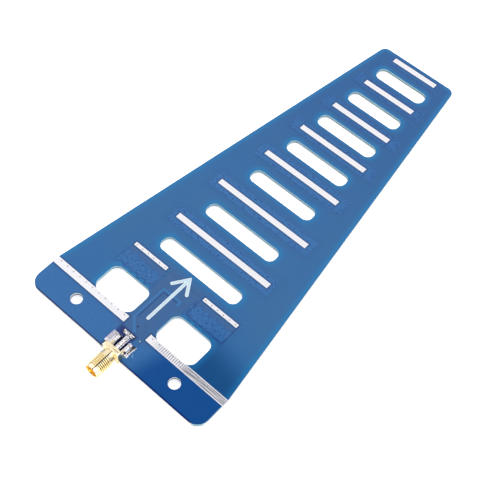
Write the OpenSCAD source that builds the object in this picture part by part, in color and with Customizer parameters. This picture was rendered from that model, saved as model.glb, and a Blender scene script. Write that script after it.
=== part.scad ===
// Planar directional antenna on a flat printed board, with an edge-mounted
// coaxial socket at its wide end.
// Frame: origin midway between the two mounting holes, on the underside of
// the board. +Y is the beam direction, along the board towards its narrow
// end. +Z is up through the board, +X to the right. All sizes in mm.
// Distances "from the wide end" are measured along Y from the wide end's edge.

/* [Board] */
// Width of the wide end
base_w = 82; // [76:0.5:90]
// Width of the narrow end, at its sharp corners
top_w = 35.6; // [32:0.1:40]
// Overall length of the board
board_len = 178.5; // [178:0.1:182]
// Distance from the wide end to where the sides start to taper
taper_start = 15; // [14.6:0.1:18]
// Corner radius of the wide end
base_r = 5; // [2:0.1:7]
// Corner radius of the narrow end
top_r = 3; // [1:0.1:5]
// Thickness over copper and mask on both faces
board_t = 1.6; // [1.2:0.1:2.4]
// Copper thickness on each face
copper_t = 0.05; // [0.035:0.005:0.07]
// Solder mask thickness on each face
mask_t = 0.03; // [0.02:0.005:0.04]

/* [Mounting holes] */
// Distance between the two mounting holes
hole_spacing = 47.5; // [44:0.1:52]
// Diameter of the mounting holes
hole_d = 4.5; // [3:0.1:5]
// Distance of the mounting holes from the wide end
hole_from_end = 6.8; // [5:0.1:8]

/* [Windows] */
// Near edge of the two square windows, from the wide end
window_lo = 14.4; // [14.2:0.1:15]
// Far edge of the two square windows, from the wide end
window_hi = 26.8; // [24:0.1:27.5]
// Inner edge of each window, from the centre line
window_in = 5.9; // [5.5:0.1:7]
// Outer edge of each window, from the centre line
window_out = 23.9; // [20:0.1:25]
// Corner radius of the windows
window_r = 3.2; // [2:0.1:5]

/* [Slots] */
// Width of every slot
slot_w = 6.4; // [5:0.1:7]
// Corner radius of every slot
slot_r = 2.7; // [1.5:0.1:3.1]
// Slot 1: centre from the wide end
slot_1_y = 45.2; // [45:0.05:45.5]
// Slot 1: half length
slot_1_half = 18.7; // [16:0.1:20]
// Slot 2: centre from the wide end
slot_2_y = 67.5; // [67.2:0.05:67.8]
// Slot 2: half length
slot_2_half = 16.7; // [14:0.1:18]
// Slot 3: centre from the wide end
slot_3_y = 90.6; // [90.3:0.05:90.9]
// Slot 3: half length
slot_3_half = 15; // [13:0.1:16]
// Slot 4: centre from the wide end
slot_4_y = 111.4; // [111.2:0.05:111.6]
// Slot 4: half length
slot_4_half = 14.2; // [12:0.1:15]
// Slot 5: centre from the wide end
slot_5_y = 129.85; // [129.7:0.05:130]
// Slot 5: half length
slot_5_half = 13.6; // [12:0.1:14]
// Slot 6: centre from the wide end
slot_6_y = 147.85; // [147.6:0.05:148.1]
// Slot 6: half length
slot_6_half = 12.3; // [11:0.1:13]
// Slot 7: centre from the wide end
slot_7_y = 165.75; // [165.5:0.05:166]
// Slot 7: half length
slot_7_half = 11.6; // [10:0.1:12]

/* [Reflector and dipole] */
// Near edge of the bare reflector strip, from the wide end
reflector_lo = 11.6; // [11.2:0.1:12]
// Far edge of the bare reflector strip, from the wide end
reflector_hi = 14.5; // [14.4:0.05:14.6]
// Inner end of each reflector half, from the centre line
reflector_in = 5.25; // [5:0.05:6]
// Near edge of the bare dipole strip, from the wide end
dipole_lo = 36.45; // [36:0.05:37]
// Far edge of the bare dipole strip, from the wide end
dipole_hi = 38; // [37.5:0.05:38.5]
// Inner end of each bare dipole strip, from the centre line
dipole_in = 9; // [8.5:0.1:10]
// Outer end of each bare dipole strip, from the centre line
dipole_out = 25; // [24:0.1:26]
// Near edge of the copper of each dipole arm, from the wide end
arm_lo = 28.6; // [28:0.1:30]

/* [Directors] */
// Width of the bare strip on every director
strip_w = 2.35; // [1.5:0.05:2.6]
// Width of the copper bar under every director strip
bar_w = 7.6; // [5:0.1:8]
// Director 1: centre from the wide end
director_1_y = 56.9; // [56.6:0.05:57.2]
// Director 1: half length of the bare strip
director_1_half = 22.35; // [20:0.05:24]
// Director 2: centre from the wide end
director_2_y = 79.15; // [79:0.05:79.3]
// Director 2: half length of the bare strip
director_2_half = 21.5; // [19:0.05:23]
// Director 3: centre from the wide end
director_3_y = 101.85; // [101.6:0.05:102]
// Director 3: half length of the bare strip
director_3_half = 17.8; // [16:0.05:19]
// Director 4: centre from the wide end
director_4_y = 121.1; // [121:0.05:121.2]
// Director 4: half length of the bare strip
director_4_half = 15.9; // [14:0.05:17]
// Director 5: centre from the wide end
director_5_y = 139.05; // [138.9:0.05:139.2]
// Director 5: half length of the bare strip
director_5_half = 13.8; // [12:0.05:15]
// Director 6: centre from the wide end
director_6_y = 157.5; // [157.4:0.05:157.6]
// Director 6: half length of the bare strip
director_6_half = 12; // [10:0.05:13]
// Director 7: centre from the wide end
director_7_y = 175.35; // [175.2:0.05:175.4]
// Director 7: half length of the bare strip
director_7_half = 10.5; // [9:0.05:12]

/* [Arrow] */
// Start of the printed arrow, from the wide end
arrow_lo = 18.4; // [17.5:0.1:20]
// Tip of the printed arrow, from the wide end
arrow_hi = 40.7; // [38:0.1:41]
// Sideways reach of each barb
arrow_barb = 3.6; // [2:0.1:4.5]
// Width of the printed line
arrow_w = 1.25; // [0.8:0.05:1.6]

/* [Connector] */
// Sideways offset of the socket from the centre line, as soldered
conn_x = 0.4; // [0:0.1:0.5]
// Diameter of the threaded barrel over its crests
thread_d = 6.35; // [6.35:0.01:6.36]
// Length of the threaded stretch
thread_len = 5.1; // [4.5:0.1:5.3]
// Length of the lead in front of the thread
lead_len = 1.6; // [0.6:0.1:1.8]
// Diameter of the lead at the mouth, from where it widens to the thread
lead_d = 5.4; // [5.2:0.05:5.6]
// Diameter of the neck at the flange, from where it widens to the thread
neck_d = 5.2; // [4.9:0.05:5.6]
// Distance from the flange's front to the socket's mouth
barrel_len = 9.05; // [8.5:0.05:9.5]
// Width of the flange
flange_w = 7.4; // [6.35:0.05:7.6]
// Height of the flange
flange_h = 6.5; // [6.35:0.05:7]
// Thickness of the flange
flange_t = 2; // [1.5:0.05:2]
// Diameter of the round opening in the socket's mouth
mouth_d = 4.6; // [4.5:0.05:4.7]
// Depth of the mouth down to the insulator
mouth_depth = 1.9; // [1.6:0.1:2]
// Diameter of the insulator
insulator_d = 4.1; // [4:0.05:4.2]
// Outer diameter of the centre contact
contact_d = 1.27; // [1.2:0.01:1.3]
// Bore of the centre contact
contact_bore_d = 0.96; // [0.93:0.01:0.98]
// Diameter of the tail pin that lies on the board
pin_d = 0.9; // [0.7:0.05:1]
// Length of the four legs behind the flange
leg_len = 5; // [4:0.1:5.2]
// Width and height of each leg
leg_w = 1; // [0.8:0.05:1.1]
// Distance between leg centres
leg_pitch = 5.08; // [5:0.01:5.2]

/* [Hidden] */
$fn = 64;

// Heights of the layers
z_cb = mask_t;                       // underside of the lower copper
z_lb = mask_t + copper_t;            // underside of the laminate
z_lt = board_t - mask_t - copper_t;  // top of the laminate
z_ct = board_t - mask_t;             // top of the upper copper
z_top = board_t;                     // top of tin, and of mask over copper
grow = 0.12;                         // how far the mask climbs past a copper edge

slot_y = [slot_1_y, slot_2_y, slot_3_y, slot_4_y, slot_5_y, slot_6_y, slot_7_y];
slot_half = [slot_1_half, slot_2_half, slot_3_half, slot_4_half, slot_5_half, slot_6_half, slot_7_half];
dir_y = [director_1_y, director_2_y, director_3_y, director_4_y, director_5_y, director_6_y, director_7_y];
dir_half = [director_1_half, director_2_half, director_3_half, director_4_half, director_5_half, director_6_half, director_7_half];
// The copper bar of each director runs past its bare strip by this much
bar_extra = [2.2, 2.6, 3.6, 4.4, 4.8, 4.6, 1.8];
// Reach of each copper bar before and behind the strip's centre
bar_back = [bar_w / 2, bar_w / 2, bar_w / 2, 3.3, 3.2, 3.2, 3.2];
bar_fwd = [bar_w / 2, bar_w / 2, bar_w / 2, 3.3, 3.2, 3.2, 2];

// Notch in the wide end that the socket's flange sits in
flange_front = -0.25;
flange_back = flange_front + flange_t;
notch_half = 4.3;

// Geometry of the tapered sides
side_dx = (base_w - top_w) / 2;
side_dy = board_len - taper_start;
side_l = sqrt(side_dx * side_dx + side_dy * side_dy);
nx = side_dy / side_l;
ny = side_dx / side_l;
function side_x(y) = base_w / 2 - side_dx * (y - taper_start) / side_dy;
corner_y = board_len - top_r;
corner_x = side_x(corner_y) - top_r / nx;

// Positions of the plated holes
via_r = 0.3;
via_in = 0.17;
via_y_reflector = 13.7;
via_x_reflector = [for (i = [0 : 10]) 6.9 + 3.2 * i];
via_y_dipole = 37.2;
via_x_dipole = [for (i = [0 : 5]) 10 + 2.8 * i];

// Sideways place of the long run of the feed line
feed_x = -4.1;

// Socket heights
z_axis = z_top + pin_d / 2;
mouth_y = flange_front - barrel_len;
reference_y = mouth_y + mouth_depth;
thread_front = mouth_y + lead_len;
thread_back = thread_front + thread_len;
leg_end = flange_back + leg_len;
pin_end = 6.6;

// Moves a shape given in distances from the wide end into the part's frame
module fr() { translate([0, -hole_from_end, 0]) children(); }

// Flat slab between two heights from a plane outline
module slab(a, b) { fr() translate([0, 0, a]) linear_extrude(b - a) children(); }

module box2(x0, x1, y0, y1) { translate([x0, y0]) square([x1 - x0, y1 - y0]); }

// The same box on the right side (s = 1) or on the left side (s = -1)
module side2(s, x0, x1, y0, y1) { box2(s > 0 ? x0 : -x1, s > 0 ? x1 : -x0, y0, y1); }

module round_side2(s, x0, x1, y0, y1, r) { round_box2(s > 0 ? x0 : -x1, s > 0 ? x1 : -x0, y0, y1, r); }

module round_box2(x0, x1, y0, y1, r) {
    box2(x0 + r, x1 - r, y0, y1);
    box2(x0, x1, y0 + r, y1 - r);
    for (x = [x0 + r, x1 - r], y = [y0 + r, y1 - r]) translate([x, y]) circle(r);
}

// Outside outline of the board
module outline2() {
    h = base_w / 2;
    polygon([[-h, base_r], [-h + base_r, base_r], [-h + base_r, 0], [h - base_r, 0], [h - base_r, base_r],
        [h, base_r], [h, taper_start], [corner_x + top_r * nx, corner_y + top_r * ny], [corner_x, corner_y],
        [corner_x, board_len], [-corner_x, board_len], [-corner_x, corner_y],
        [-corner_x - top_r * nx, corner_y + top_r * ny], [-h, taper_start]]);
    for (s = [-1, 1]) {
        translate([s * (h - base_r), base_r]) circle(base_r);
        translate([s * corner_x, corner_y]) circle(top_r);
    }
}

module windows2() {
    for (s = [-1, 1]) round_side2(s, window_in, window_out, window_lo, window_hi, window_r);
}

module holes2(extra = 0) {
    for (s = [-1, 1]) translate([s * hole_spacing / 2, hole_from_end]) circle(hole_d / 2 + extra);
}

module notch2(extra = 0) { box2(-notch_half - extra, notch_half + extra, -2, flange_back + extra); }

// Every opening that goes through the board
module cutouts2() {
    holes2();
    windows2();
    notch2();
    for (i = [0 : 6])
        round_box2(-slot_half[i], slot_half[i], slot_y[i] - slot_w / 2, slot_y[i] + slot_w / 2, slot_r);
}

module board2() { difference() { outline2(); cutouts2(); } }

module vias2(r) {
    for (s = [-1, 1]) {
        for (x = via_x_reflector) translate([s * x, via_y_reflector]) circle(r);
        for (x = via_x_dipole) translate([s * x, via_y_dipole]) circle(r);
    }
}

// Copper outlines. g grows an outline for the mask that covers it.
module ground2(s, g = 0) {
    difference() {
        union() {
            // pour between the wide end's edge and the bare strip
            side2(s, reflector_in - g, base_w / 2 - 5, 0.35 - g, reflector_hi - 1);
            side2(s, 30, base_w / 2 - 0.35 + g, base_r, reflector_hi - 1);
            translate([s * (base_w / 2 - base_r), base_r]) circle(base_r - 0.35 + g);
            // tongue beside the socket, which its legs are soldered to
            side2(s, 1.5 - g, reflector_in + 8, 0.35 - g, 8 + g);
            // reflector half
            side2(s, reflector_in - g, base_w / 2, reflector_lo - g, reflector_hi + g);
        }
        windows2();
        holes2(0.35 - g);
        notch2(0.3 - g);
    }
}

module feed2(g = 0) {
    w = 1.3 + 2 * g;
    // pad under the centre pin, with its cross bar
    box2(-0.85 - g, 0.85 + g, 3 - g, 9);
    box2(-3 - g, 2 + g, 8.5 - g, 10.2 + g);
    // line that leaves the pad, steps aside and runs up to the dipole
    box2(-w / 2, w / 2, 9, 11.5 + w / 5);
    polygon([[-w / 2, 11.5 - w / 5], [w / 2, 11.5 + w / 5],
        [feed_x + w / 2, 15.7 + w / 5], [feed_x - w / 2, 15.7 - w / 5]]);
    box2(feed_x - w / 2, feed_x + w / 2, 15.7 - w / 5, 31.2 + g);
    box2(feed_x - w / 2, 4.6 + g, 29.9 - g, 31.2 + g);
    box2(3.3 - g, 4.6 + g, 28.4 - g, 30.5);
}

module arm2(s, g = 0) {
    side2(s, 8.6 - g, 25.2 + g, arm_lo - g, dipole_hi + 0.15 + g);
    side2(s, 0.35 - g, 9, 36.9 - g, 37.7 + g);
}

module bar2(i, g = 0) {
    h = dir_half[i] + bar_extra[i];
    box2(-h - g, h + g, dir_y[i] - bar_back[i] - g, dir_y[i] + bar_fwd[i] + g);
}

// Bare openings in the upper mask
module reflector_bare2(s) {
    difference() {
        side2(s, reflector_in, base_w / 2, reflector_lo, reflector_hi);
        windows2();
    }
}
module dipole_bare2(s) { side2(s, dipole_in, dipole_out, dipole_lo, dipole_hi); }
module director_bare2(i) { box2(-dir_half[i], dir_half[i], dir_y[i] - strip_w / 2, dir_y[i] + strip_w / 2); }
module pad_bare2() { box2(-0.7, 0.7, 3.15, 8.7); box2(-2.85, 1.85, 8.65, 10.05); }
module leg_bare2(s) {
    a = s > 0 ? 2.3 : 1.4;
    side2(s, a, 5.4, 2.35, 7.4);
    side2(s, a, a + 1.35, 1.5, 2.4);
}
module bare2() {
    for (s = [-1, 1]) { reflector_bare2(s); dipole_bare2(s); leg_bare2(s); }
    for (i = [0 : 6]) director_bare2(i);
    pad_bare2();
}

module top_copper2(g = 0) {
    for (s = [-1, 1]) { ground2(s, g); arm2(s, g); }
    feed2(g);
    for (i = [0 : 6]) bar2(i, g);
}

module bottom_ground2(g = 0) {
    difference() {
        union() {
            round_box2(-base_w / 2 + 0.35 - g, base_w / 2 - 0.35 + g, 0.35 - g, reflector_hi + g, base_r - 0.35 + g);
            box2(-base_w / 2 + 0.35 - g, base_w / 2 - 0.35 + g, 6, reflector_hi + g);
            box2(-4.9 - g, 4.9 + g, 10, 27.6 + g);
        }
        windows2();
        holes2(0.35 - g);
        notch2(0.3 - g);
    }
}
module bottom_arm2(s, g = 0) { side2(s, 1.2 - g, 25.2 + g, arm_lo - g, dipole_hi + 0.15 + g); }

// ---- board pieces ----
module laminate() {
    color([0.72, 0.76, 0.72]) slab(z_lb, z_lt) difference() { board2(); vias2(via_r); }
}

module solder_mask_top() {
    color([0.13, 0.33, 0.62]) difference() {
        union() {
            slab(z_lt, z_lt + mask_t) board2();
            slab(z_lt, z_top) intersection() { board2(); top_copper2(grow); }
        }
        slab(z_lt - 1, z_ct) top_copper2();
        slab(z_lt - 1, z_top + 1) bare2();
    }
}

module solder_mask_bottom() {
    color([0.13, 0.33, 0.62]) difference() {
        union() {
            slab(z_lb - mask_t, z_lb) board2();
            slab(0, z_lb) intersection() { board2(); union() { bottom_ground2(grow); for (s = [-1, 1]) bottom_arm2(s, grow); } }
        }
        slab(z_cb, z_lb + 1) { bottom_ground2(); for (s = [-1, 1]) bottom_arm2(s); }
        slab(-1, z_lb + 1) for (s = [-1, 1]) leg_bare2(s);
    }
}

// Outline of the printed arrow: a shaft and two barbs with rounded line ends.
// arrow_d runs along the right barb, arrow_n points out of it.
arrow_ty = arrow_hi - 1.1;
arrow_l = norm([arrow_barb, 5.5]);
arrow_d = [arrow_barb, -5.5] / arrow_l;
arrow_n = [-arrow_d[1], arrow_d[0]];
function cap(c, a0, r) = [for (k = [0 : 6]) c + r * [cos(a0 + 30 * k), sin(a0 + 30 * k)]];
function flip(p) = [for (k = [len(p) - 1 : -1 : 0]) [-p[k][0], p[k][1]]];
function arrow_right(r) = concat(
    [[r, arrow_lo], [r, arrow_ty - arrow_n[1] * r + arrow_d[1] * r * (1 + arrow_n[0]) / arrow_d[0]]],
    cap([0, arrow_ty] + arrow_l * arrow_d, atan2(-arrow_n[1], -arrow_n[0]), r),
    [[0.2, arrow_ty + arrow_n[1] * r + arrow_d[1] * (0.2 - arrow_n[0] * r) / arrow_d[0]]]);

module arrow2() {
    r = arrow_w / 2;
    polygon(concat(arrow_right(r), flip(arrow_right(r)),
        [for (k = [1 : 5]) [r * cos(180 + 30 * k), arrow_lo + r * sin(180 + 30 * k)]]));
}

module direction_arrow() {
    color("white") difference() {
        slab(z_lt + mask_t, z_top + 0.02) arrow2();
        // the ink follows the steps in the mask over the lines that it crosses
        slab(z_lt, z_top) { arm2(-1, grow); arm2(1, grow); feed2(grow); }
    }
}

// ---- copper ----
module copper_top() { color([0.72, 0.45, 0.2]) slab(z_lt, z_ct) difference() { children(); vias2(via_r); } }
module copper_bottom() { color([0.72, 0.45, 0.2]) slab(z_cb, z_lb) difference() { children(); vias2(via_r); } }

module ground_copper_left() { copper_top() ground2(-1); }
module ground_copper_right() { copper_top() ground2(1); }
module ground_copper_bottom() { copper_bottom() bottom_ground2(); }
module feed_line() { color([0.72, 0.45, 0.2]) slab(z_lt, z_ct) feed2(); }
module dipole_arm_left() { copper_top() arm2(-1); }
module dipole_arm_right() { copper_top() arm2(1); }
module dipole_bottom_left() { copper_bottom() bottom_arm2(-1); }
module dipole_bottom_right() { copper_bottom() bottom_arm2(1); }
module director(i) { color([0.72, 0.45, 0.2]) slab(z_lt, z_ct) bar2(i); }

// ---- tin on the bare copper ----
module tin() { color([0.93, 0.92, 0.95]) slab(z_ct, z_top) difference() { children(); vias2(via_r); } }
module reflector_tinning_left() { tin() reflector_bare2(-1); }
module reflector_tinning_right() { tin() reflector_bare2(1); }
module dipole_tinning_left() { tin() dipole_bare2(-1); }
module dipole_tinning_right() { tin() dipole_bare2(1); }
module director_tinning(i) { color([0.93, 0.92, 0.95]) slab(z_ct, z_top) director_bare2(i); }
module feed_pad_tinning() { color([0.93, 0.92, 0.95]) slab(z_ct, z_top) pad_bare2(); }

// Plated barrels that join the upper and lower copper
module via_barrels() {
    color([0.75, 0.72, 0.68]) slab(z_cb, z_top) difference() { vias2(via_r); vias2(via_in); }
}

// ---- coaxial socket ----
// Round shape about the socket's axis, from distance a to distance b
module rod(a, b, d) { fr() translate([conn_x, b, z_axis]) rotate([90, 0, 0]) cylinder(h = b - a, d = d); }

// The same with diameter da at a and db at b
module cone(a, b, da, db) { fr() translate([conn_x, b, z_axis]) rotate([90, 0, 0]) cylinder(h = b - a, d1 = db, d2 = da); }

module legs() {
    fr() for (s = [-1, 1], z = [z_top, -leg_w])
        translate([conn_x + s * leg_pitch / 2 - leg_w / 2, flange_back - 0.5, z]) cube([leg_w, leg_len + 0.5, leg_w]);
}

module connector_shell() {
    color([0.87, 0.7, 0.38]) difference() {
        union() {
            fr() translate([conn_x, flange_back, z_axis]) rotate([90, 0, 0]) linear_extrude(flange_t)
                round_box2(-flange_w / 2, flange_w / 2, -flange_h / 2, flange_h / 2, 0.7);
            cone(thread_back - 0.2, flange_front + 0.5, thread_d - 0.35, neck_d);
            rod(thread_front, thread_back, thread_d);
            cone(mouth_y, thread_front + 0.2, lead_d, thread_d - 0.25);
            legs();
        }
        rod(mouth_y - 1, reference_y, mouth_d);
        rod(reference_y - 0.5, flange_back + 1, insulator_d);
    }
}

module contact_outer() {
    rod(reference_y, 0.6, contact_d);
    rod(0.5, pin_end, pin_d);
}

module connector_insulator() {
    color([0.95, 0.95, 0.92]) difference() {
        rod(reference_y, flange_back, insulator_d);
        rod(reference_y - 1, 0.6, contact_d);
        rod(0.5, flange_back + 1, pin_d);
    }
}

module connector_contact() {
    color([0.87, 0.7, 0.38]) difference() {
        contact_outer();
        rod(reference_y - 1, reference_y + 3, contact_bore_d);
        fr() translate([conn_x - 0.08, reference_y - 1, z_axis - 1]) cube([0.16, 3.4, 2]);
    }
}

// ---- solder ----
// Joint that wraps one leg: a sloped ridge along the leg, closed at its end
module leg_joint(s, up) {
    zc = up > 0 ? z_ct : z_cb;
    c = conn_x + s * leg_pitch / 2;
    out = 5.3 - s * c;   // the outer end of the bare pad, from the leg
    in = s * c - (s > 0 ? 2.36 : 1.5);    // its inner end
    difference() {
        fr() translate([c, 2.4, zc]) scale([s, 1, up]) {
            translate([0, 4.75, 0]) rotate([90, 0, 0]) linear_extrude(4.75)
                polygon([[-in, 0], [out, 0], [out * 0.72, 0.5], [1.2, 0.9], [0.75, 1.25], [0.1, 1.42], [-min(0.5, 0.8 * in), 1.3], [-0.95 * in, 0.7]]);
        }
        fr() translate([c - leg_w / 2, 0, up > 0 ? z_top : -leg_w]) cube([leg_w, leg_end, leg_w]);
    }
}
module solder_leg_top_left() { color([0.9, 0.9, 0.92]) leg_joint(-1, 1); }
module solder_leg_top_right() { color([0.9, 0.9, 0.92]) leg_joint(1, 1); }
module solder_leg_bottom_left() { color([0.9, 0.9, 0.92]) leg_joint(-1, -1); }
module solder_leg_bottom_right() { color([0.9, 0.9, 0.92]) leg_joint(1, -1); }

module solder_centre_pin() {
    color([0.9, 0.9, 0.92]) difference() {
        fr() translate([conn_x, 8.5, z_top]) rotate([90, 0, 0]) linear_extrude(5)
            polygon([[-1.05, 0], [0.3, 0], [0.35, 0.75], [0.1, 0.98], [-0.35, 0.98], [-0.75, 0.7]]);
        rod(0, pin_end, pin_d);
    }
}

laminate();
solder_mask_top();
solder_mask_bottom();
direction_arrow();
ground_copper_left();
ground_copper_right();
ground_copper_bottom();
feed_line();
dipole_arm_left();
dipole_arm_right();
dipole_bottom_left();
dipole_bottom_right();
director(0);  // director_1
director(1);  // director_2
director(2);  // director_3
director(3);  // director_4
director(4);  // director_5
director(5);  // director_6
director(6);  // director_7
reflector_tinning_left();
reflector_tinning_right();
dipole_tinning_left();
dipole_tinning_right();
director_tinning(0);  // director_tinning_1
director_tinning(1);  // director_tinning_2
director_tinning(2);  // director_tinning_3
director_tinning(3);  // director_tinning_4
director_tinning(4);  // director_tinning_5
director_tinning(5);  // director_tinning_6
director_tinning(6);  // director_tinning_7
feed_pad_tinning();
via_barrels();
connector_shell();
connector_insulator();
connector_contact();
solder_leg_top_left();
solder_leg_top_right();
solder_leg_bottom_left();
solder_leg_bottom_right();
solder_centre_pin();
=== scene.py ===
import math

import bmesh
import bpy
import numpy as np
from mathutils import Euler, Matrix, Vector, noise


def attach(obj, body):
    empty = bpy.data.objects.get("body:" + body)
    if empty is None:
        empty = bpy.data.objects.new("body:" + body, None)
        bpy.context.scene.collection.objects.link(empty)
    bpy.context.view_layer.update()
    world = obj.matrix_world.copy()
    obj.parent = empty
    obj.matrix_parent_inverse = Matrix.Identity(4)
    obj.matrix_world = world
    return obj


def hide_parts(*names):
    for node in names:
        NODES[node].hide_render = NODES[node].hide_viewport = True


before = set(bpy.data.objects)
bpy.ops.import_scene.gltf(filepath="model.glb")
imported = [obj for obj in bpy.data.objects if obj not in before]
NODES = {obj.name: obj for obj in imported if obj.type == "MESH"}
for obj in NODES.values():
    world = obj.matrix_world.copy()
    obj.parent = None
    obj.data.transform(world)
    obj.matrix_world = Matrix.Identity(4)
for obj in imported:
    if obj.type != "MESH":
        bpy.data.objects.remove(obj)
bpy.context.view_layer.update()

# Every size below is in millimetres unless it says otherwise; V is the distance
# from the board's wide end, which is 6.8 mm behind the frame's origin.
MM = 0.001
V0 = 6.8
BOARD_T = 1.6
scene = bpy.context.scene


def lin(r, g, b):
    """A colour given in 0-255 display values, as linear light."""
    out = []
    for c in (r, g, b):
        c /= 255.0
        out.append(c / 12.92 if c <= 0.04045 else ((c + 0.055) / 1.055) ** 2.4)
    return (*out, 1.0)


def seen(r, g, b):
    """The base colour of a glossy non-metal that shows as this display colour."""
    c = lin(r, g, b)
    return (*(max(0.0, k - 0.036) / GLOW for k in c[:3]), 1.0)


GLOW = 1.16     # how strongly the scene lights a flat face that looks up

# ---------------------------------------------------------------- camera
cam_data = bpy.data.cameras.new("camera")
cam_data.lens = 75.0
cam_data.sensor_width = 36.0
cam_data.clip_start = 0.01
cam_data.clip_end = 10.0
camera = bpy.data.objects.new("camera", cam_data)
scene.collection.objects.link(camera)
camera.location = (0.122321, -0.098077, 0.311575)
camera.rotation_euler = Euler([math.radians(a) for a in (32.3278, -2.55022, 41.7568)], "XYZ")
scene.camera = camera


# ---------------------------------------------------------------- node graphs
class Val:
    """A number worked out by a material's nodes, with ordinary arithmetic."""

    def __init__(self, g, socket):
        self.g, self.socket = g, socket

    def __add__(self, o): return self.g.math("ADD", self, o)
    def __radd__(self, o): return self.g.math("ADD", o, self)
    def __sub__(self, o): return self.g.math("SUBTRACT", self, o)
    def __rsub__(self, o): return self.g.math("SUBTRACT", o, self)
    def __mul__(self, o): return self.g.math("MULTIPLY", self, o)
    def __rmul__(self, o): return self.g.math("MULTIPLY", o, self)
    def __truediv__(self, o): return self.g.math("DIVIDE", self, o)
    def __neg__(self): return self.g.math("MULTIPLY", self, -1.0)
    def __abs__(self): return self.g.math("ABSOLUTE", self)
    def max(self, o): return self.g.math("MAXIMUM", self, o)
    def min(self, o): return self.g.math("MINIMUM", self, o)

    def step(self, a, b):
        """0 at a, 1 at b, smooth between."""
        n = self.g.node("ShaderNodeMapRange")
        n.interpolation_type = "SMOOTHSTEP"
        n.clamp = True
        self.g.put(n.inputs[0], self)
        n.inputs[1].default_value, n.inputs[2].default_value = a, b
        n.inputs[3].default_value, n.inputs[4].default_value = 0.0, 1.0
        return Val(self.g, n.outputs[0])


class Graph:
    """One material's node tree."""

    def __init__(self, name, **shader):
        self.mat = bpy.data.materials.new(name)
        self.mat.use_nodes = True
        self.tree = self.mat.node_tree
        self.shader = self.tree.nodes["Principled BSDF"]
        for key, value in shader.items():
            self.shader.inputs[key.replace("_", " ")].default_value = value

    def node(self, kind):
        return self.tree.nodes.new(kind)

    def put(self, socket, value):
        if isinstance(value, Val):
            self.tree.links.new(value.socket, socket)
        elif isinstance(value, bpy.types.NodeSocket):
            self.tree.links.new(value, socket)
        else:
            socket.default_value = value

    def math(self, op, a, b=None):
        n = self.node("ShaderNodeMath")
        n.operation = op
        self.put(n.inputs[0], a)
        if b is not None:
            self.put(n.inputs[1], b)
        return Val(self, n.outputs[0])

    def place(self):
        """x, V and z in mm."""
        co = self.node("ShaderNodeTexCoord").outputs["Object"]
        sep = self.node("ShaderNodeSeparateXYZ")
        self.tree.links.new(co, sep.inputs[0])
        x, y, z = (Val(self, o) * 1000.0 for o in sep.outputs)
        return x, y + V0, z

    def vec(self, x, y, z=0.0):
        n = self.node("ShaderNodeCombineXYZ")
        for s, v in zip(n.inputs, (x, y, z)):
            self.put(s, v)
        return n.outputs[0]

    def noise(self, vector, scale=1.0, detail=3.0, rough=0.5):
        n = self.node("ShaderNodeTexNoise")
        self.tree.links.new(vector, n.inputs["Vector"])
        n.inputs["Scale"].default_value = scale
        n.inputs["Detail"].default_value = detail
        n.inputs["Roughness"].default_value = rough
        return Val(self, n.outputs[0])

    def wave(self, phase):
        """0..1 sine of a number in turns."""
        return self.math("SINE", phase * (2 * math.pi)) * 0.5 + 0.5

    def mix(self, f, a, b):
        n = self.node("ShaderNodeMix")
        n.data_type = "RGBA"
        self.put(n.inputs[0], f)
        self.put(n.inputs[6], a)
        self.put(n.inputs[7], b)
        return n.outputs[2]

    def colour(self, c):
        self.put(self.shader.inputs["Base Color"], c)

    def rough(self, r):
        self.put(self.shader.inputs["Roughness"], r)

    def bump(self, height, distance, strength=1.0):
        """height in 0..1, distance in mm."""
        n = self.node("ShaderNodeBump")
        n.inputs["Strength"].default_value = strength
        n.inputs["Distance"].default_value = distance * MM
        self.put(n.inputs["Height"], height)
        self.tree.links.new(n.outputs[0], self.shader.inputs["Normal"])


# The board's own dimensions, as in the part's source
SLOT_V = (45.2, 67.5, 90.6, 111.4, 129.85, 147.85, 165.75)
SLOT_HALF = (18.7, 16.7, 15.0, 14.2, 13.6, 12.3, 11.6)
BAR_V = (56.9, 79.15, 101.85, 121.1, 139.05, 157.5, 175.35)
BAR_HALF = (24.55, 24.1, 21.4, 20.3, 18.6, 16.6, 12.3)
STRIP_HALF = (22.35, 21.5, 17.8, 15.9, 13.8, 12.0, 10.5)
BAR_BACK = (3.8, 3.8, 3.8, 3.3, 3.2, 3.2, 3.2)
BAR_FWD = (3.8, 3.8, 3.8, 3.3, 3.2, 3.2, 2.0)


def round_rect(g, qx, qv, r):
    """Distance out of a rounded opening, from its corner circles' offsets."""
    a, b = qx.max(0.0), qv.max(0.0)
    return g.math("SQRT", a * a + b * b) - r


def edge_distance(g, x, v, extra=0.0):
    """Distance from the nearest cut edge of the board, in mm, plus extra beside a slot."""
    ax = abs(x)
    d = (41.0 - 0.1419 * (v - 15.0).max(0.0) - ax).min(v).min(178.5 - v)
    for c, h in zip(SLOT_V, SLOT_HALF):
        slot = round_rect(g, ax - (h - 2.7), abs(v - c) - 0.5, 2.7)
        d = d.min(slot + extra * (h - 1.5 - ax).step(0.0, 4.0) if extra else slot)
    return d.min(round_rect(g, abs(ax - 14.9) - 5.8, abs(v - 20.6) - 3.0, 3.2))


def edge_spot(g, dx, dv):
    """Distance from a point."""
    return g.math("SQRT", dx * dx + dv * dv)


def inside(x0, x1, v0, v1, x, v):
    """Distance into a rectangle, positive inside it."""
    return (x - x0).min(x1 - x).min((v - v0).min(v1 - v))


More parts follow.
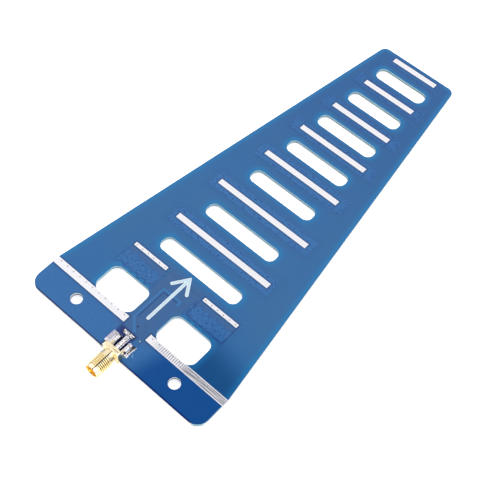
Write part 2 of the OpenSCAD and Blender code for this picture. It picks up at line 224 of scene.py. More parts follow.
# ---------------------------------------------------------------- solder mask
def mask_material(name, top):
    g = Graph(name, Roughness=0.3, IOR=1.46)
    x, v, z = g.place()
    ax = abs(x)
    edge = edge_distance(g, x, v)
    p = g.vec(x, v)

    bars = None
    if top:
        for c, h, b, f in zip(BAR_V, BAR_HALF, BAR_BACK, BAR_FWD):
            r = inside(-h, h, c - b, c + f, x, v)
            bars = r if bars is None else bars.max(r)
        arms = inside(8.6, 25.2, 28.6, 38.15, ax, v)
        link = inside(0.35, 9.0, 36.9, 37.7, ax, v)
        ground = inside(5.25, 40.65, 0.35, 14.5, ax, v).max(inside(1.5, 13.3, 0.35, 8.0, ax, v))
        feed = inside(-4.75, -3.45, 15.4, 31.2, x, v).max(inside(-4.75, 4.6, 29.9, 31.2, x, v))
        feed = feed.max(inside(3.3, 4.6, 28.4, 31.0, x, v)).max(inside(-0.65, 0.65, 9.0, 11.6, x, v))
        diag = x + (v - 11.5) * 0.976
        feed = feed.max((0.65 - 0.72 * abs(diag)).min((v - 11.2).min(15.9 - v)))
    else:
        arms = inside(1.2, 25.2, 28.6, 38.15, ax, v)
        link = inside(-4.9, 4.9, 10.0, 27.6, x, v)
        ground = inside(0.0, 40.65, 0.35, 14.5, ax, v)
        feed = link
    copper = arms.max(link).max(ground).max(feed)
    if bars is not None:
        copper = copper.max(bars)

    wide = g.noise(p, 0.03, 2.0)
    fine = g.noise(p, 0.9, 3.0, 0.6)
    cloud = g.noise(p, 0.32, 3.0, 0.6)
    speck = g.noise(p, 1.25, 1.0, 0.5)

    bare = g.mix(wide.step(0.3, 0.7), seen(66, 109, 157), seen(61, 108, 161))
    bare = g.mix(v.step(70.0, 165.0), bare, seen(59, 100, 153))
    halo = (1.0 - edge_distance(g, x, v, 0.7).step(0.0, 3.0)) * (0.7 + 0.3 * fine)
    c = g.mix(halo, bare, seen(48, 124, 178))
    over = g.mix(fine.step(0.35, 0.7), seen(68, 112, 168), seen(61, 109, 164))
    c = g.mix(copper.step(-0.15, 0.15) * 0.85, c, over)
    if top:
        # the mottled zones over the directors and over the near part of each arm
        wob = (cloud - 0.5) * 4.0
        zone = (bars + wob * 0.5).step(-0.9, 1.0)
        duller = (bars + wob * 0.5 + 1.6).step(-0.8, 0.6) * (1.0 - zone)
        c = g.mix(duller * 0.5, c, seen(64, 103, 152))
        c = g.mix(zone * 0.8, c, g.mix(v.step(70.0, 165.0), seen(69, 116, 170), seen(60, 104, 160)))
        lobe = g.wave(ax * 0.29 + 0.1) * 1.1 + cloud * 3.0 - 1.6
        arm = (inside(8.4, 25.4, 28.4, 33.6, ax, v) + lobe).step(-0.2, 0.7)
        c = g.mix(arm * 0.85, c, g.mix(fine.step(0.4, 0.6), seen(70, 116, 170), seen(65, 110, 165)))
        rim = (1.0 - abs(inside(8.4, 25.4, 28.4, 33.6, ax, v) + lobe).step(0.0, 0.5)) * 0.75
        c = g.mix(rim, c, seen(50, 88, 142))
        dots = speck.step(0.56, 0.62) * (zone * (1.0 - (bars - 1.2).step(0.0, 1.2))).max(arm * 0.8)
        c = g.mix(dots * 0.85, c, seen(42, 78, 138))
        # dull zone between the arms and around the feed
        mid = inside(-8.4, 8.4, 9.5, 39.6, x, v).step(-1.0, 2.0).max(inside(8.6, 25.2, 33.5, 36.6, ax, v).step(-1.0, 1.0))
        c = g.mix(mid * (1.0 - arm) * (0.65 + 0.3 * cloud), c, seen(73, 104, 150))
        navy = (inside(-5.2, 2.9, 0.8, 11.0, x, v) + wob * 0.4).step(-0.6, 1.2)
        c = g.mix(navy * 0.85, c, seen(36, 62, 116))
        # painted shade beside the pin, where the pin and the joints hide the light, with some old flux there; old
        # flux around the feed pad
        darkening = inside(-1.45, -0.2, 1.6, 7.9, x, v).max(inside(0.9, 2.35, 1.6, 6.4, x, v)).step(-0.3, 0.15)
        darkening = darkening.max(inside(-3.2, 2.2, 8.35, 10.35, x, v).step(-0.35, 0.2) * (0.35 + 0.65 * fine.step(0.4, 0.6)))
        c = g.mix(darkening * 0.9, c, lin(12, 14, 40))
        run = feed.step(-0.1, 0.15) * v.step(10.4, 11.4)
        c = g.mix(run * 0.85, c, seen(70, 119, 172))
        # the lines' lower right sides lie in a thin shadow of their own edge
        low = (1.0 - abs(x + 3.2).step(0.08, 0.4)) * (v - 16.0).min(30.0 - v).step(0.0, 0.6)
        low = low.max((1.0 - abs(v - 29.6).step(0.08, 0.4)) * inside(-3.3, 3.3, 28.0, 31.0, x, v).step(0.0, 0.3))
        c = g.mix(low * 0.75, c, seen(46, 78, 128))
        # a darker rim where the mask thins down to the bare strips
        strip = inside(9.0, 25.0, 36.45, 38.0, ax, v).max(inside(5.25, 42.0, 11.6, 14.5, ax, v))
        for m, h in zip(BAR_V, STRIP_HALF):
            strip = strip.max((h - ax).min(1.175 - abs(v - m)))
        c = g.mix((strip.step(-0.8, -0.3)) * 0.82, c, seen(42, 84, 130))
        spot = edge_spot(g, x - 4.23, v - 10.03)
        c = g.mix((1.0 - spot.step(0.4, 0.6)) * 0.8, c, seen(24, 48, 96))
        c = g.mix((1.0 - spot.step(0.2, 0.36)) * 0.9, c, lin(160, 190, 205))
        # flux residue around the start of the feed line and beside the right joint
        dirt = inside(-0.6, 4.0, 11.2, 16.4, x, v).step(-0.6, 1.2)
        c = g.mix(dirt * speck.step(0.57, 0.65) * 0.4, c, seen(40, 70, 124))
        c = g.mix((1.0 - edge_spot(g, x + 0.31, v - 13.64).step(0.22, 0.45)) * 0.85, c, seen(22, 30, 66))
        streak = edge_spot(g, (x - 6.35) + 0.6 * (v - 4.4), (v - 4.4) * 0.45)
        c = g.mix((1.0 - streak.step(0.15, 0.4)) * 0.6, c, seen(122, 168, 204))
        # the near right corner is painted darker and more saturated: painted shade, as this part of the board mirrors
        # little light
        painted_dark_corner = (x - 0.3 * v).step(5.0, 14.0) * (1.0 - (v + 0.2 * x).step(25.0, 39.0))
        under = g.mix(copper.step(-0.15, 0.15), lin(18, 68, 118), lin(14, 67, 128))
        near = (1.0 - edge.step(0.0, 3.0)) * (1.0 - copper.step(-0.15, 0.15))
        c = g.mix(painted_dark_corner, c, g.mix(near * 0.6, under, lin(24, 100, 155)))
    # a dark line along the copper's edges: partly the mask thinning over them, partly painted shade of the small step
    # they make
    line = (1.0 - abs(copper + 0.12).step(0.0, 0.3)) * edge.step(0.2, 0.8)
    if top:
        c = g.mix(line * (0.15 + 0.55 * inside(7.0, 27.0, 27.0, 36.0, x, v).step(-0.5, 0.5)), c, seen(38, 66, 120))
    else:
        c = g.mix(line * 0.5, c, seen(38, 66, 120))
    # the mask thins to a dark rim where the board is cut
    c = g.mix((1.0 - edge.step(0.0, 0.3)) * 0.5, c, seen(44, 88, 138))
    c = g.mix((1.0 - v.step(0.35, 0.75)) * 0.85, c, seen(30, 52, 104))
    g.colour(c)
    g.rough(0.12 + 0.06 * fine)
    if top:
        # gloss is lowered in the painted shade beside the pin and in the painted dark corner, so that they mirror
        # less light
        g.put(g.shader.inputs["Specular IOR Level"], 0.5 - 0.42 * darkening.max(painted_dark_corner * 0.85))
    weave = g.wave(x * 1.9) * g.wave(v * 1.9)
    g.bump(0.5 * fine + 0.25 * weave + 0.5 * copper.step(-0.3, 0.05), 0.003, 0.5)
    return g.mat


# ---------------------------------------------------------------- laminate
def laminate_material():
    g = Graph("cut_laminate", Roughness=0.55, IOR=1.5)
    x, v, z = g.place()
    ax = abs(x)
    outer = (41.0 - 0.1419 * (v - 15.0).max(0.0) - ax).min(v).min(178.5 - v).step(0.7, 0.2)
    grain = g.noise(g.vec(x * 0.4, v * 0.4, z * 4.0), 3.0, 3.0, 0.6)
    # the cut walls: grey layers low down, painted shade inside the slots, under a teal band at the top that is partly
    # the mask's edge and partly painted glow of light through the laminate
    layer = g.wave(z * 4.7)
    low = g.mix(layer, lin(96, 106, 106), lin(128, 138, 136))
    c = g.mix(z.step(0.7, 1.0), low, lin(112, 172, 196))
    # the two round holes' walls: white at the top, dark grey low down as painted shade in place of the shadow on the
    # floor below
    hole = 1.0 - edge_spot(g, ax - 23.75, v - 6.8).step(2.5, 2.8)
    c = g.mix(hole, c, g.mix(z.step(0.85, 1.15), lin(72, 74, 74), lin(246, 246, 242)))
    # the outer walls are a paler copy: painted light on walls that face the open room
    pale = g.mix(z.step(0.9, 1.4), lin(196, 194, 188), lin(122, 150, 176))
    pale = g.mix(v.step(0.3, 0.1), pale, g.mix(z.step(1.1, 1.4), lin(236, 232, 220), lin(150, 168, 190)))
    c = g.mix(outer, c, pale)
    c = g.mix(grain.step(0.35, 0.75) * 0.25, c, lin(225, 232, 230))
    g.colour(c)
    g.bump(0.5 * layer + grain, 0.03, 0.5)
    return g.mat


# ---------------------------------------------------------------- metals
def tin_material(name, ribbed=False):
    g = Graph(name, Metallic=1.0)
    x, v, z = g.place()
    p = g.vec(x, v)
    hatch = g.wave(x * 1.35 + v * 0.9) * 0.5 + g.wave(x * 0.8 - v * 1.6) * 0.5
    mott = g.noise(p, 1.4, 3.0, 0.6)
    c = g.mix(hatch, lin(240, 238, 246), lin(253, 253, 255))
    c = g.mix(mott.step(0.55, 0.8) * 0.3, c, lin(218, 212, 226))
    height = 0.5 * hatch + 0.6 * mott
    if ribbed:
        mid = (v - 11.9).min(14.2 - v).step(-0.15, 0.15)
        on = x.step(6.0, 13.0) * (1.0 - x.step(20.5, 24.0))
        rib = g.wave(x * 1.15 + 0.1 * mott)
        c = g.mix(on * mid * rib.step(0.4, 0.85) * 0.7, c, lin(110, 112, 132))
        streak = g.noise(g.vec(x * 0.1, v * 3.4), 1.0, 2.0, 0.5)
        far = x.step(19.5, 24.0) * mid
        c = g.mix(far * (0.35 + 0.65 * streak.step(0.42, 0.58)), c, lin(138, 138, 150))
        height = height + on * rib * 1.2
    g.colour(c)
    g.rough(0.22 + 0.2 * mott)
    g.bump(height, 0.02, 0.6)
    return g.mat


def via_material():
    g = Graph("plated_barrel", Metallic=1.0, Roughness=0.45)
    x, v, z = g.place()
    # the barrel's inside is painted dark grey: painted shade in the narrow hole; its top rim is tin-coloured
    inner = g.mix(g.noise(g.vec(x, v, z), 4.0), lin(66, 66, 76), lin(92, 92, 100))
    g.colour(g.mix(z.step(1.5, 1.58), inner, lin(226, 221, 230)))
    return g.mat


def copper_material():
    g = Graph("copper_foil", Metallic=1.0, Roughness=0.35)
    x, v, z = g.place()
    g.colour(g.mix(g.noise(g.vec(x, v), 0.8, 3.0), lin(214, 138, 96), lin(184, 108, 70)))
    return g.mat


def gold_material():
    g = Graph("bright_gold", Metallic=1.0)
    x, v, z = g.place()
    dx, dz = x - 0.4, z - 2.05
    r = g.math("SQRT", dx * dx + dz * dz)
    up, out = dz / r, dx / r
    turning = g.noise(g.vec(x * 0.02, v * 14.0, z * 0.02), 1.0, 2.0, 0.6)
    stain = g.noise(g.vec(x, v, z), 0.9, 3.0, 0.6)
    c = g.mix(stain.step(0.3, 0.75), lin(252, 238, 206), lin(246, 226, 184))
    barrel = v.step(-0.2, -0.3) * v.step(-9.24, -9.2)
    # the barrel is painted darker and browner low down and on its left side: painted reflection of darker
    # surroundings
    c = g.mix(barrel * up.step(0.5, -0.2) * out.step(-0.1, 0.1), c, lin(206, 172, 92))
    c = g.mix(barrel * out.step(-0.62, -0.9), c, lin(206, 182, 124))
    # the neck's right side is painted a little darker: painted shade
    c = g.mix(v.step(-2.7, -2.3) * barrel * out.step(0.55, 0.85), c, lin(238, 214, 160))
    # painted shade in the roots of the thread, with some grime, and lighter crests as painted highlights; both are
    # faint on the left
    thread = v.step(-7.75, -7.55) * v.step(-2.5, -2.7)
    root = r.step(3.02, 2.88) * thread
    pale_thread_side = out.step(0.36, 0.2)
    crest = g.mix(out.step(0.4, 0.7), lin(255, 250, 224), lin(252, 238, 194))
    c = g.mix(thread * (1.0 - root), c, g.mix(pale_thread_side, crest, lin(255, 247, 212)))
    c = g.mix(root, c, g.mix(pale_thread_side, g.mix(out.step(0.4, 0.7), lin(80, 60, 8), lin(190, 160, 82)), lin(236, 212, 152)))
    # both sides of the barrel are painted a little darker than its top: painted shade
    painted_side_shade = (up.step(0.35, -0.25) * out.step(0.3, 0.5)).max(out.step(-0.72, -0.92))
    c = g.mix(barrel * painted_side_shade * 0.65, c, lin(220, 196, 140))
    # a dark brown line along the barrel, a painted reflection of a dark strip in the room, and two small dark marks
    line = 1.0 - abs(out - 0.285).step(0.03, 0.065)
    c = g.mix(barrel * line * up.step(0.2, 0.5) * v.step(-9.1, -8.6) * 0.95, c, lin(104, 76, 20))
    mark = 1.0 - edge_spot(g, x + 0.93, (v + 7.76) * 0.7).step(0.1, 0.3)
    mark = mark.max(1.0 - edge_spot(g, x + 2.9, v - 1.55).step(0.12, 0.3))
    c = g.mix(mark * up.step(0.2, 0.5) * 0.85, c, lin(74, 58, 44))
    # the turned face at the mouth and the inside are a deeper yellow
    c = g.mix(v.step(-9.2, -9.26), c, lin(230, 178, 74))
    c = g.mix(r.step(2.45, 2.38) * v.step(-7.2, -7.35), c, lin(228, 168, 58))
    g.colour(c)
    g.rough(0.07 + 0.06 * turning)
    g.bump(turning, 0.004, 0.4)
    return g.mat


def solder_material():
    g = Graph("shiny_solder", Metallic=1.0)
    x, v, z = g.place()
    n = g.noise(g.vec(x, v, z), 1.6, 3.0, 0.6)
    c = g.mix(n.step(0.35, 0.7), lin(250, 248, 250), lin(214, 210, 218))
    # brown specks of flux on the solder
    darkening = g.noise(g.vec(x + 7.0, v, z), 1.5, 2.0, 0.6).step(0.6, 0.66)
    c = g.mix(darkening * 0.85, c, lin(58, 40, 30))
    # burnt flux along the right leg's outer side and on the left leg's far end
    wedge = 0.16 + 0.34 * v.step(5.0, 7.0)
    burnt = (1.0 - (abs(x - 4.6) / wedge).step(0.7, 1.3)) * v.step(3.2, 3.9)
    burnt = burnt.max((1.0 - edge_spot(g, x - 3.95, (v - 3.05) * 0.8).step(0.3, 0.5)))
    burnt = burnt.max((1.0 - abs(v - 6.9 + 0.3 * (x + 2.0)).step(0.16, 0.36)) * inside(-3.1, -1.4, 6.0, 7.5, x, v).step(0.0, 0.3))
    # specks of flux on the feed's pad
    for sx, sv, sr in ((0.0, 9.65, 0.34), (1.2, 9.4, 0.3), (-2.6, 8.85, 0.3), (-0.7, 8.65, 0.34), (0.45, 8.75, 0.34)):
        burnt = burnt.max(1.0 - edge_spot(g, x - sx, v - sv).step(0.55 * sr, sr))
    c = g.mix(burnt * z.step(1.4, 1.6) * 0.9, c, lin(26, 20, 22))
    # the flat outer half of the left joint is duller
    flat = x.step(-3.4, -3.9) * z.step(2.3, 2.0) * v.step(3.0, 3.6)
    c = g.mix(flat * 0.75, c, g.mix(n, lin(168, 162, 186), lin(196, 190, 210)))
    g.colour(c)
    g.rough(0.06 + 0.12 * n)
    g.bump(n, 0.1, 0.5)
    return g.mat


def insulator_material():
    g = Graph("white_insulator", Roughness=0.5, IOR=1.38, Subsurface_Weight=0.15)
    x, v, z = g.place()
    n = g.noise(g.vec(x, v, z), 1.5, 3.0)
    g.colour(g.mix(n, lin(240, 238, 228), lin(222, 218, 205)))
    g.bump(n, 0.02, 0.4)
    return g.mat


def print_material():
    g = Graph("white_ink", Roughness=0.42, IOR=1.45)
    x, v, z = g.place()
    n = g.noise(g.vec(x, v), 2.4, 3.0, 0.6)
    c = g.mix(n.step(0.3, 0.7), seen(236, 244, 250), seen(246, 249, 252))
    # the ink is thinner along the middle of its lines, so a little blue shows
    ax, k = abs(x), 1.0 / math.hypot(3.6, 5.5)
    along = (ax * 3.6 - (v - 39.6) * 5.5) * k
    across = abs(ax * 5.5 + (v - 39.6) * 3.6) * k
    line = ax.max(18.6 - v).max(v - 39.8).min(across.max(-along).max(along - 6.4))
    c = g.mix(line.step(0.52, 0.34), c, g.mix(n, seen(186, 212, 226), seen(206, 228, 238)))
    g.colour(c)
    g.bump(n, 0.01, 0.6)
    return g.mat


MASK_TOP = mask_material("blue_mask_printed_face", True)
MASK_BOTTOM = mask_material("blue_mask_plain_face", False)
LAMINATE = laminate_material()
TIN = tin_material("levelled_tin")
TIN_RIBBED = tin_material("levelled_tin_ribbed", True)
VIA = via_material()
COPPER = copper_material()
GOLD = gold_material()
SOLDER = solder_material()
INSULATOR = insulator_material()
PRINT = print_material()

BY_NAME = {
    "laminate": LAMINATE, "solder_mask_top": MASK_TOP, "solder_mask_bottom": MASK_BOTTOM,
    "direction_arrow": PRINT, "via_barrels": VIA, "reflector_tinning_right": TIN_RIBBED,
    "connector_shell": GOLD, "connector_contact": GOLD, "connector_insulator": INSULATOR,
}
for name, obj in NODES.items():
    mat = BY_NAME.get(name)
    if mat is None:
        mat = TIN if "tinning" in name else SOLDER if name.startswith("solder_") else COPPER
    obj.data.materials.clear()
    obj.data.materials.append(mat)


# ---------------------------------------------------------------- meshes
def new_object(name, verts, faces, mat):
    """An object from points in mm, given with V for Y."""
    me = bpy.data.meshes.new(name)
    me.from_pydata([(x * MM, (y - V0) * MM, z * MM) for x, y, z in verts], [], faces)
    me.validate()
    me.materials.append(mat)
    obj = bpy.data.objects.new(name, me)
    scene.collection.objects.link(obj)
    return obj


def smooth(obj, degrees=35):
    me = obj.data
    me.polygons.foreach_set("use_smooth", [True] * len(me.polygons))
    me.set_sharp_from_angle(angle=math.radians(degrees))


CX, CZ = 0.4, BOARD_T + 0.45       # the socket's axis
MOUTH, FLANGE, FLANGE_BACK = -9.3, -0.25, 1.75
LEAD_R, LEAD_TOP, CREST, ROOT, NECK, NECK_TOP = 2.7, 3.03, 3.175, 2.76, 2.6, 2.96
T0, T1 = MOUTH + 1.6, MOUTH + 6.7  # the threaded stretch
PITCH = 25.4 / 36


def barrel_radius(v, turn):
    """Outer radius of the barrel at a distance along it and an angle in turns."""
    if v < T0:
        k = min(1.0, (v - MOUTH) / (T0 - MOUTH))
        return LEAD_R + (LEAD_TOP - LEAD_R) * k ** 0.7 - max(0.0, 0.1 - (v - MOUTH)) * 0.8
    if v > T1:
        k = min(1.0, (v - T1) / (FLANGE - T1))
        return NECK + (NECK_TOP - NECK) * (1.0 - k) ** 2
    k = ((v - T0) / PITCH - turn) % 1.0
    ridge = min(1.0, max(0.0, (1.0 - abs(2 * k - 1.0)) * 1.7 - 0.25))
    r = ROOT + (CREST - ROOT) * ridge
    side = LEAD_TOP if v < (T0 + T1) / 2 else NECK_TOP
    fade = min(1.0, (v - T0) / 0.3, (T1 - v) / 0.3)
    return side + (r - side) * fade


def lathe(profile, seg, name, mat):
    """Closed ring of quads from a closed list of (v, radius or function of the turn)."""
    verts, faces = [], []
    n = len(profile)
    for v, r in profile:
        for s in range(seg):
            a = 2 * math.pi * s / seg
            rr = r(s / seg) if callable(r) else r
            verts.append((CX + rr * math.cos(a), v, CZ + rr * math.sin(a)))
    for i in range(n):
        j = (i + 1) % n
        for s in range(seg):
            t = (s + 1) % seg
            faces.append((i * seg + s, i * seg + t, j * seg + t, j * seg + s))
    return new_object(name, verts, faces, mat)


def box_mesh(name, x0, x1, y0, y1, z0, z1, bevel, mat, segments=3):
    obj = new_object(name, [(x, y, z) for x in (x0, x1) for y in (y0, y1) for z in (z0, z1)],
                     [(0, 1, 3, 2), (4, 6, 7, 5), (0, 4, 5, 1), (2, 3, 7, 6), (0, 2, 6, 4), (1, 5, 7, 3)], mat)
    bm = bmesh.new()
    bm.from_mesh(obj.data)
    bmesh.ops.recalc_face_normals(bm, faces=bm.faces)
    if bevel:
        bmesh.ops.bevel(bm, geom=list(bm.edges), offset=bevel * MM, segments=segments, profile=0.6, affect="EDGES")
    bm.to_mesh(obj.data)
    bm.free()
    return obj


def fix_normals(obj):
    bm = bmesh.new()
    bm.from_mesh(obj.data)
    bmesh.ops.recalc_face_normals(bm, faces=bm.faces)
    bm.to_mesh(obj.data)
    bm.free()


def apply_modifiers(obj):
    dg = bpy.context.evaluated_depsgraph_get()
    me = bpy.data.meshes.new_from_object(obj.evaluated_get(dg))
    obj.modifiers.clear()
    obj.data = me


def boolean(obj, other, op):
    m = obj.modifiers.new("b", "BOOLEAN")
    m.operation, m.solver, m.object = op, "EXACT", other
    apply_modifiers(obj)
    bpy.data.objects.remove(other)


# ---- the socket's shell: threaded barrel, flange and legs in one piece
def make_shell():
    steps = []
    v = MOUTH
    for a, b, n in ((MOUTH, MOUTH + 0.1, 2), (MOUTH + 0.1, T0, 6), (T0, T1, 96), (T1, FLANGE, 8)):
        steps += [a + (b - a) * i / n for i in range(n)]
    steps.append(FLANGE + 0.4)
    outer = [(v, (lambda t, v=v: barrel_radius(v, t))) for v in steps]
    ref = MOUTH + 1.9
    inner = [(FLANGE + 0.4, 2.05), (ref, 2.05), (ref, 2.3), (MOUTH + 0.2, 2.3), (MOUTH, 2.46)]
    shell = lathe(outer + inner, 96, "socket_shell", GOLD)
    fix_normals(shell)
    flange = box_mesh("flange", CX - 3.7, CX + 3.7, FLANGE, FLANGE_BACK, CZ - 3.25, CZ + 3.25, 0.0, GOLD)
    bm = bmesh.new()
    bm.from_mesh(flange.data)
    upright = [e for e in bm.edges if abs((e.verts[0].co - e.verts[1].co).normalized().y) > 0.9]
    bmesh.ops.bevel(bm, geom=upright, offset=0.75 * MM, segments=6, profile=0.5, affect="EDGES")
    rims = [e for e in bm.edges if abs((e.verts[0].co - e.verts[1].co).normalized().y) < 0.1]
    bmesh.ops.bevel(bm, geom=rims, offset=0.14 * MM, segments=2, profile=0.5, affect="EDGES")
    bm.to_mesh(flange.data)
    bm.free()
    bore = lathe([(FLANGE - 1, 0.001), (FLANGE - 1, 2.05), (FLANGE_BACK + 1, 2.05), (FLANGE_BACK + 1, 0.001)], 96, "bore", GOLD)
    fix_normals(bore)
    boolean(flange, bore, "DIFFERENCE")
    for sx in (-1, 1):
        for z0 in (BOARD_T, -1.0):
            leg = box_mesh("leg", CX + sx * 2.54 - 0.5, CX + sx * 2.54 + 0.5, FLANGE_BACK - 0.4, 6.75, z0, z0 + 1.0, 0.12, GOLD, 2)
            boolean(flange, leg, "UNION")
    boolean(shell, flange, "UNION")
    smooth(shell, 40)
    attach(shell, "root")
    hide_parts("connector_shell")


make_shell()


# ---- solder joints built here in place of the model's
def mound(x0, x1, v0, v1, nu, nv, base, up, height):
    """A closed mound: its lower face is flat at base, its height is a function of x and V."""
    verts, faces = [], []
    for j in range(nv + 1):
        for i in range(nu + 1):
            x, v = x0 + (x1 - x0) * i / nu, v0 + (v1 - v0) * j / nv
            verts.append((x, v, base + up * max(0.003, height(x, v))))
    n, row = len(verts), nu + 1
    verts += [(p[0], p[1], base) for p in verts]
    for j in range(nv):
        for i in range(nu):
            a = j * row + i
            faces.append((a, a + 1, a + row + 1, a + row))
            faces.append((n + a, n + a + row, n + a + row + 1, n + a + 1))
    rim = [i for i in range(nu)] + [j * row + nu for j in range(nv)] + \
          [nv * row + i for i in range(nu, 0, -1)] + [j * row for j in range(nv, 0, -1)]
    for k, a in enumerate(rim):
        b = rim[(k + 1) % len(rim)]
        faces.append((a, n + a, n + b, b))
    return verts, faces


def solder_piece(name, node, parts):
    verts, faces = [], []
    for vs, fs in parts:
        k = len(verts)
        verts += vs
        faces += [tuple(i + k for i in f) for f in fs]
    obj = new_object(name, verts, faces, SOLDER)
    fix_normals(obj)
    smooth(obj, 60)
    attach(obj, "root")
    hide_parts(node)


def bell(t, w, k=2.0):
    return math.exp(-abs(t / w) ** k)


def joint(name, node, side, up, seed, crown, top, inner, bare, roundness, shift=0.0):
    """Solder over one bare pad and the leg that lies on it."""
    leg = side * CX + 2.54          # the leg's distance from the centre line
    base = BOARD_T - 0.03 if up > 0 else 0.03

    def height(x, v):
        u = side * x
        t = u - leg
        wob = noise.noise(Vector((u * 0.8, v * 0.6, seed))) + 0.4 * noise.noise(Vector((u * 2.1, v * 1.7, seed + 4)))
        ends = min(1.0, max(0.0, (v - bare) / 0.6)) * (1.0 - max(0.0, v - 6.75) / 0.6)
        ridge = crown * bell(t - shift, 0.85 + 0.6 * shift, 4.0) * max(ends, 0.5 * min(1.0, max(0.0, v - 2.1)))
        slope = (0.6 * bell(t - 0.6, 0.85) + (0.36 * bell(t - 2.2, 0.36) if shift else 0.2 * bell(t - 1.5, 0.8))) * min(1.0, (7.3 - v) / 0.9)
        near = v - (1.7 if t < 0.7 else 2.33)
        edge = min(u - inner, 5.42 - u, 7.42 - v, near) / 0.3
        # the heap is rounder in plan than its pad
        mx, mv = (u - 0.5 * (inner + 5.42)) / (0.5 * (5.42 - inner)), (v - 4.7) / 2.75
        plan = min(1.0, max(0.0, 1.0 - abs(mx) ** roundness - abs(mv) ** roundness) * 3.0) ** 0.5
        rim = min(1.0, max(0.0, edge)) ** 0.5
        h = (max(0.0, ridge, slope) + 0.18 * wob * min(1.0, ridge + slope)) * plan
        return min(top, (0.05 + max(0.0, h)) * rim)

    lo, hi = (inner, 5.42) if side > 0 else (-5.42, -inner)
    solder_piece(name, node, [mound(lo, hi, 1.8, 7.42, 44, 60, base, up, height)])


joint("joint_top_left", "solder_leg_top_left", -1, 1, 1.7, 1.2, 1.45, 1.38, 3.4, 8.0)
joint("joint_top_right", "solder_leg_top_right", 1, 1, 5.3, 1.4, 1.6, 2.28, 2.9, 2.9, 0.35)
joint("joint_bottom_left", "solder_leg_bottom_left", -1, -1, 9.1, 1.2, 1.415, 1.38, 2.6, 6.0)
joint("joint_bottom_right", "solder_leg_bottom_right", 1, -1, 12.9, 1.2, 1.415, 2.28, 2.6, 4.0)


def pin_height(x, v):
    t = x - (CX - 0.05 * (v - 2.5))
    wide = 0.72 if v < 6.3 else max(0.34, 0.72 - (v - 6.3) * 0.6)
    k = max(0.0, 1.0 - abs(t / wide) ** 3)
    end = 1.0 if v < 6.8 else max(0.0, 1.0 - (v - 6.8) / 2.4)
    return 1.0 * k ** 0.45 * end + (0.03 * noise.noise(Vector((x * 3, v * 2, 2.2))) if k > 0.05 else 0.0)


def pad_height(x, v):
    t = min(x + 2.9, 1.9 - x, v - 8.6, 10.1 - v) / 0.3
    lump = noise.noise(Vector((x * 1.2 + 3.1, v * 1.1, 0.4))) + 0.5 * noise.noise(Vector((x * 2.8, v * 2.6, 7.7)))
    return (0.12 + 0.75 * max(0.0, lump + 0.3)) * min(1.0, max(0.0, t)) ** 0.5


solder_piece("joint_centre_pin", "solder_centre_pin", [
    mound(-0.8, 1.25, 1.8, 9.0, 34, 60, BOARD_T - 0.01, 1, pin_height),
    mound(-2.9, 1.9, 8.6, 10.1, 48, 18, BOARD_T - 0.01, 1, pad_height)])


# ---------------------------------------------------------------- floor, light
def make_floor():
    # It touches the lowest solder under the socket and the narrow end's lower edge.
    tilt = math.atan2(1.39, 176.1)
    size = 3.0
    me = bpy.data.meshes.new("floor")
    me.from_pydata([(-size, -size, 0), (size, -size, 0), (size, size, 0), (-size, size, 0)], [], [(0, 1, 2, 3)])
    floor = bpy.data.objects.new("floor", me)
    scene.collection.objects.link(floor)
    floor.matrix_world = Matrix.Translation((0, 0.1717, -0.00002)) @ Matrix.Rotation(tilt, 4, "X")
    g = Graph("white_floor", Roughness=0.9)
    x, v, z = g.place()
    g.colour(g.mix(g.noise(g.vec(x, v), 0.01, 2.0), (0.88, 0.88, 0.88, 1), (0.9, 0.9, 0.9, 1)))
    g.shader.inputs["Specular IOR Level"].default_value = 0.0
    g.shader.inputs["Emission Color"].default_value = (1, 1, 1, 1)
    g.shader.inputs["Emission Strength"].default_value = 0.6
    me.materials.append(g.mat)


make_floor()


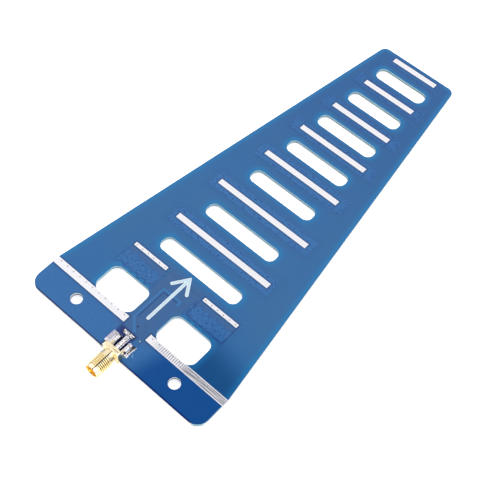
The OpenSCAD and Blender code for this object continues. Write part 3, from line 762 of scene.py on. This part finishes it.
def make_world():
    world = bpy.data.worlds.new("studio")
    scene.world = world
    world.use_nodes = True
    nt = world.node_tree
    bg = nt.nodes["Background"]
    co = nt.nodes.new("ShaderNodeTexCoord").outputs["Generated"]

    def dot(d):
        n = nt.nodes.new("ShaderNodeVectorMath")
        n.operation = "DOT_PRODUCT"
        nt.links.new(co, n.inputs[0])
        n.inputs[1].default_value = Vector(d).normalized()
        return n.outputs["Value"]

    def ramp(sock, a, b, lo, hi):
        n = nt.nodes.new("ShaderNodeMapRange")
        n.interpolation_type = "SMOOTHSTEP"
        nt.links.new(sock, n.inputs[0])
        for i, val in enumerate((a, b, lo, hi)):
            n.inputs[i + 1].default_value = val
        return n.outputs[0]

    def mul(a, b):
        n = nt.nodes.new("ShaderNodeMath")
        n.operation = "MULTIPLY"
        nt.links.new(a, n.inputs[0])
        nt.links.new(b, n.inputs[1])
        return n.outputs[0]

    def lookup(sock, *pairs):
        """Smooth steps multiplied together, each given as (from, to, low, high)."""
        out = None
        for p in pairs:
            r = ramp(sock, *p)
            out = r if out is None else mul(out, r)
        return out

    sep = nt.nodes.new("ShaderNodeSeparateXYZ")
    nt.links.new(co, sep.inputs[0])

    def over_z(sock):
        n = nt.nodes.new("ShaderNodeMath")
        n.operation = "DIVIDE"
        nt.links.new(sock, n.inputs[0])
        nt.links.new(sep.outputs[2], n.inputs[1])
        return n.outputs[0]

    def invert(sock, amount):
        n = nt.nodes.new("ShaderNodeMath")
        n.operation = "MULTIPLY_ADD"
        nt.links.new(sock, n.inputs[0])
        n.inputs[1].default_value, n.inputs[2].default_value = -amount, 1.0
        return n.outputs[0]

    # a dim opening in the tent, which the board's near right corner mirrors
    box = mul(lookup(over_z(sep.outputs[0]), (-0.372, -0.335, 0.0, 1.0), (-0.22, -0.20, 1.0, 0.0)),
              lookup(over_z(sep.outputs[1]), (0.25, 0.28, 0.0, 1.0), (0.362, 0.39, 1.0, 0.0)))
    patch = invert(box, 0.97)
    # two bright panels overhead, with a narrow dark gap between them over the socket
    right = lookup(dot((math.cos(math.radians(43)), 0.0, math.sin(math.radians(43)))), (0.79, 0.86, 0.0, 1.0))
    left = lookup(dot((math.cos(math.radians(92)), 0.0, math.sin(math.radians(92)))), (0.977, 0.988, 0.0, 1.0))
    far = lookup(dot((math.cos(math.radians(134)), 0.0, math.sin(math.radians(134)))), (0.975, 0.99, 0.0, 1.0))
    panel = invert(right, -1.1)
    panel2 = mul(invert(left, -0.9), invert(far, -0.8))
    n = nt.nodes.new("ShaderNodeMath")
    n.operation = "ABSOLUTE"
    nt.links.new(dot((0.982, 0.0, -0.191)), n.inputs[0])
    gap = ramp(n.outputs[0], 0.09, 0.13, 0.05, 1.0)
    # the room is darker low down and in front
    ahead = ramp(dot((0, -1, -0.15)), 0.3, 0.75, 1.0, 0.3)
    level = ramp(dot((0, 0, 1)), 0.05, 0.5, 0.55, 1.0)
    nt.links.new(mul(mul(mul(patch, mul(panel, panel2)), gap), mul(ahead, level)), bg.inputs["Strength"])
    bg.inputs["Color"].default_value = (1.0, 1.0, 1.0, 1.0)


make_world()


def area(name, loc, target, size, power):
    data = bpy.data.lights.new(name, "AREA")
    data.shape = "SQUARE"
    data.size = size
    data.energy = power
    obj = bpy.data.objects.new(name, data)
    scene.collection.objects.link(obj)
    obj.location = loc
    obj.rotation_euler = (Vector(target) - Vector(loc)).to_track_quat("-Z", "Y").to_euler()
    obj.visible_glossy = False
    return obj


area("softbox_left", (-0.55, -0.15, 0.75), (0, 0.08, 0), 0.6, 2.4)
area("softbox_back", (0.25, 0.75, 0.65), (0, 0.08, 0), 0.5, 1.4)

scene.view_settings.view_transform = "Standard"
scene.view_settings.look = "None"
scene.view_settings.exposure = 0.0
scene.view_settings.gamma = 1.0
